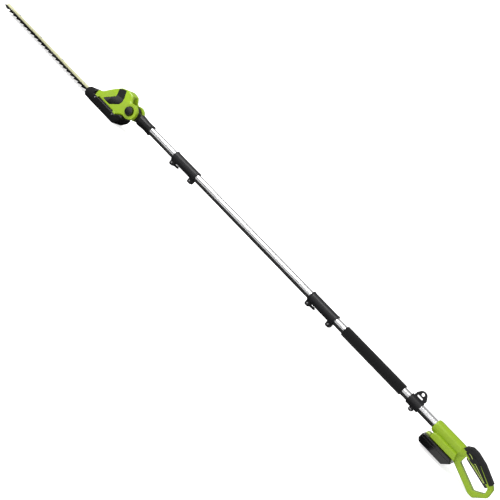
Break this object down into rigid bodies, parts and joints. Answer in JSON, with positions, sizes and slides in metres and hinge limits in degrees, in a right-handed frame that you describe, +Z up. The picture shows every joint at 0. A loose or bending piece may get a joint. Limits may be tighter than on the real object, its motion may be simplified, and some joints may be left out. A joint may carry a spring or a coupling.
{
  "type": "pole hedge trimmer",
  "caption": "Battery pole hedge trimmer with a tilting double-sided cutter head, sectional aluminium pole, foam grip, hanger and D-handle.",
  "frame": {"origin": "middle of the bottom of the bounding box, on the surface that the trimmer lies on", "axes": "+X along the pole towards the D-handle, +Z up when the trimmer lies on its head sole and handle loop, +Y to the right seen from behind the handle's -Y side"},
  "size_m": [2.4276, 0.076, 0.1226],
  "materials": {
    "green_plastic": "satin moulded",
    "black_plastic": "satin moulded",
    "dark_plastic": "fine textured",
    "grip_rubber": "matte",
    "foam": "open cell foam",
    "tube_aluminium": "polished",
    "steel": "zinc plated",
    "blade_steel": "black oxide",
    "rail_coat": "satin coated",
    "lime_plastic": "satin moulded",
    "brass": "machined",
    "cell_wrap": "shrink wrap"
  },
  "bodies": {
    "handle": {"handle_shell_left": "green_plastic", "handle_shell_right": "green_plastic", "grip_overmould": "grip_rubber", "lower_tube": "tube_aluminium", "foam_grip": "foam", "lower_coupler": "dark_plastic", "lower_clamp_bolt_1": "steel", "lower_clamp_bolt_2": "steel", "trigger_switch": "black_plastic", "terminal_block": "brass", "handle_screw_1": "steel", "handle_screw_2": "steel", "handle_screw_3": "steel"},
    "lower_latch": {"lower_latch_lever": "dark_plastic"},
    "middle_section": {"middle_tube": "tube_aluminium", "upper_coupler": "dark_plastic", "upper_clamp_bolt_1": "steel", "upper_clamp_bolt_2": "steel"},
    "upper_latch": {"upper_latch_lever": "dark_plastic"},
    "upper_section": {"upper_tube": "tube_aluminium", "pole_socket": "black_plastic"},
    "head": {"head_housing_left": "green_plastic", "head_housing_right": "green_plastic", "head_inlay_left": "black_plastic", "head_inlay_right": "black_plastic", "head_screw_1": "steel", "head_screw_2": "steel", "gear_case_cover": "black_plastic", "cover_screw_1": "steel", "cover_screw_2": "steel", "cover_screw_3": "steel", "cover_screw_4": "steel", "gear_plate": "steel", "motor_can": "steel", "pivot_bolt": "black_plastic", "blade_support_rail": "rail_coat", "blade_tip_guard": "black_plastic", "rail_bolt_1": "steel", "rail_bolt_2": "steel", "rail_bolt_3": "steel", "rail_bolt_4": "steel"},
    "upper_cutter": {"upper_blade": "blade_steel"},
    "lower_cutter": {"lower_blade": "blade_steel"},
    "crank": {"drive_gear": "steel"},
    "motor_shaft": {"motor_pinion": "brass"},
    "tilt_release": {"tilt_button": "black_plastic"},
    "hanger": {"hanger_bracket": "dark_plastic", "hanger_bolt": "steel"},
    "trigger_lever": {"trigger": "black_plastic"},
    "lock_off": {"lock_off_button": "black_plastic"},
    "battery": {"battery_tub": "black_plastic", "battery_lid": "black_plastic", "cell_1": "cell_wrap", "cell_2": "cell_wrap", "cell_3": "cell_wrap", "cell_4": "cell_wrap", "cell_5": "cell_wrap"},
    "battery_release": {"battery_latch": "lime_plastic"}
  },
  "joints": [
    {"name": "middle_section_pull", "type": "slide", "parent": "handle", "child": "middle_section", "axis": [-1, 0, 0], "range_m": [0, 0.05]},
    {"name": "upper_section_pull", "type": "slide", "parent": "middle_section", "child": "upper_section", "axis": [-1, 0, 0], "range_m": [0, 0.05]},
    {"name": "head_tilt", "type": "hinge", "parent": "upper_section", "child": "head", "pos_m": [-0.50247, 0, 0.074], "axis": [0, 1, 0], "range_deg": [-45, 90]},
    {"name": "upper_blade_stroke", "type": "slide", "parent": "head", "child": "upper_cutter", "axis": [1, 0, 0], "range_m": [-0.008, 0.008]},
    {"name": "lower_blade_stroke", "type": "slide", "parent": "head", "child": "lower_cutter", "axis": [1, 0, 0], "range_m": [-0.008, 0.008]},
    {"name": "drive_gear_spin", "type": "hinge", "parent": "head", "child": "crank", "pos_m": [-0.59447, 0, 0.025], "axis": [0, 0, 1], "continuous": true},
    {"name": "motor_spin", "type": "hinge", "parent": "head", "child": "motor_shaft", "pos_m": [-0.56247, 0, 0.025], "axis": [0, 0, 1], "continuous": true},
    {"name": "tilt_button_press", "type": "slide", "parent": "head", "child": "tilt_release", "axis": [0, 1, 0], "range_m": [0, 0.004], "stiffness_N_per_m": 600},
    {"name": "upper_latch_lift", "type": "hinge", "parent": "middle_section", "child": "upper_latch", "pos_m": [-0.26347, 0, 0.0495], "axis": [0, 1, 0], "range_deg": [0, 25]},
    {"name": "lower_latch_lift", "type": "hinge", "parent": "handle", "child": "lower_latch", "pos_m": [0.41953, 0, 0.0495], "axis": [0, 1, 0], "range_deg": [0, 25]},
    {"name": "hanger_shift", "type": "slide", "parent": "handle", "child": "hanger", "axis": [1, 0, 0], "range_m": [-0.025, 0.01]},
    {"name": "trigger_squeeze", "type": "hinge", "parent": "handle", "child": "trigger_lever", "pos_m": [1.18753, 0, 0.0525], "axis": [0, 1, 0], "range_deg": [0, 4.5], "stiffness_Nm_per_rad": 2.5},
    {"name": "lock_off_press", "type": "slide", "parent": "handle", "child": "lock_off", "axis": [0, 1, 0], "range_m": [0, 0.003], "stiffness_N_per_m": 400},
    {"name": "battery_slide", "type": "slide", "parent": "handle", "child": "battery", "axis": [-1, 0, 0], "range_m": [0, 0.08]},
    {"name": "battery_latch_press", "type": "slide", "parent": "battery", "child": "battery_release", "axis": [0, 0, -1], "range_m": [0, 0.003], "stiffness_N_per_m": 800}
  ],
  "couplings": [
    {"joint": "lower_blade_stroke", "follows": "upper_blade_stroke", "ratio": -1},
    {"joint": "motor_spin", "follows": "drive_gear_spin", "ratio": -3}
  ]
}
